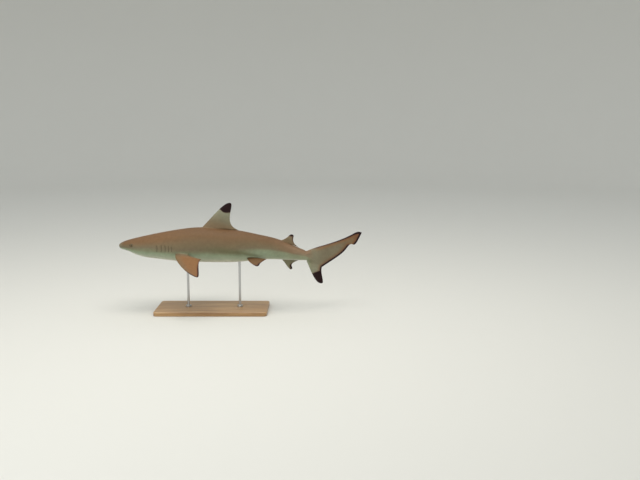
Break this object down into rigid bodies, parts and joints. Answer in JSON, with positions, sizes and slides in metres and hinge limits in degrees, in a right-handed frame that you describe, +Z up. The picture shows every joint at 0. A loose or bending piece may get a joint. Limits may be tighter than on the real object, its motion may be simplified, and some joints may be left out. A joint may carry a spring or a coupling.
{
  "type": "life-size blacktip reef shark model on a display stand",
  "caption": "Still life-size model of an adult blacktip reef shark swimming level, held over a flat wooden base by short steel rods.",
  "frame": {"origin": "middle of the underside of the stand's base, on the floor", "axes": "+X from the snout towards the tail, +Y towards the animal's right side, +Z up"},
  "size_m": [1.212, 0.4662, 0.547],
  "materials": {
    "shark_skin": "satin",
    "eye": "gloss",
    "base_wood": "satin lacquer",
    "rod_steel": "brushed"
  },
  "bodies": {
    "root": {"head": "shark_skin", "lower_jaw": "shark_skin", "eye_left": "eye", "eye_right": "eye", "trunk": "shark_skin", "tail": "shark_skin", "caudal_upper_lobe": "shark_skin", "caudal_lower_lobe": "shark_skin", "first_dorsal_fin": "shark_skin", "second_dorsal_fin": "shark_skin", "anal_fin": "shark_skin", "pectoral_fin_left": "shark_skin", "pectoral_fin_right": "shark_skin", "pelvic_fin_left": "shark_skin", "pelvic_fin_right": "shark_skin", "stand_base": "base_wood", "stand_rod_front": "rod_steel", "stand_rod_rear": "rod_steel", "stand_collar_front": "rod_steel", "stand_collar_rear": "rod_steel"}
  },
  "joints": []
}
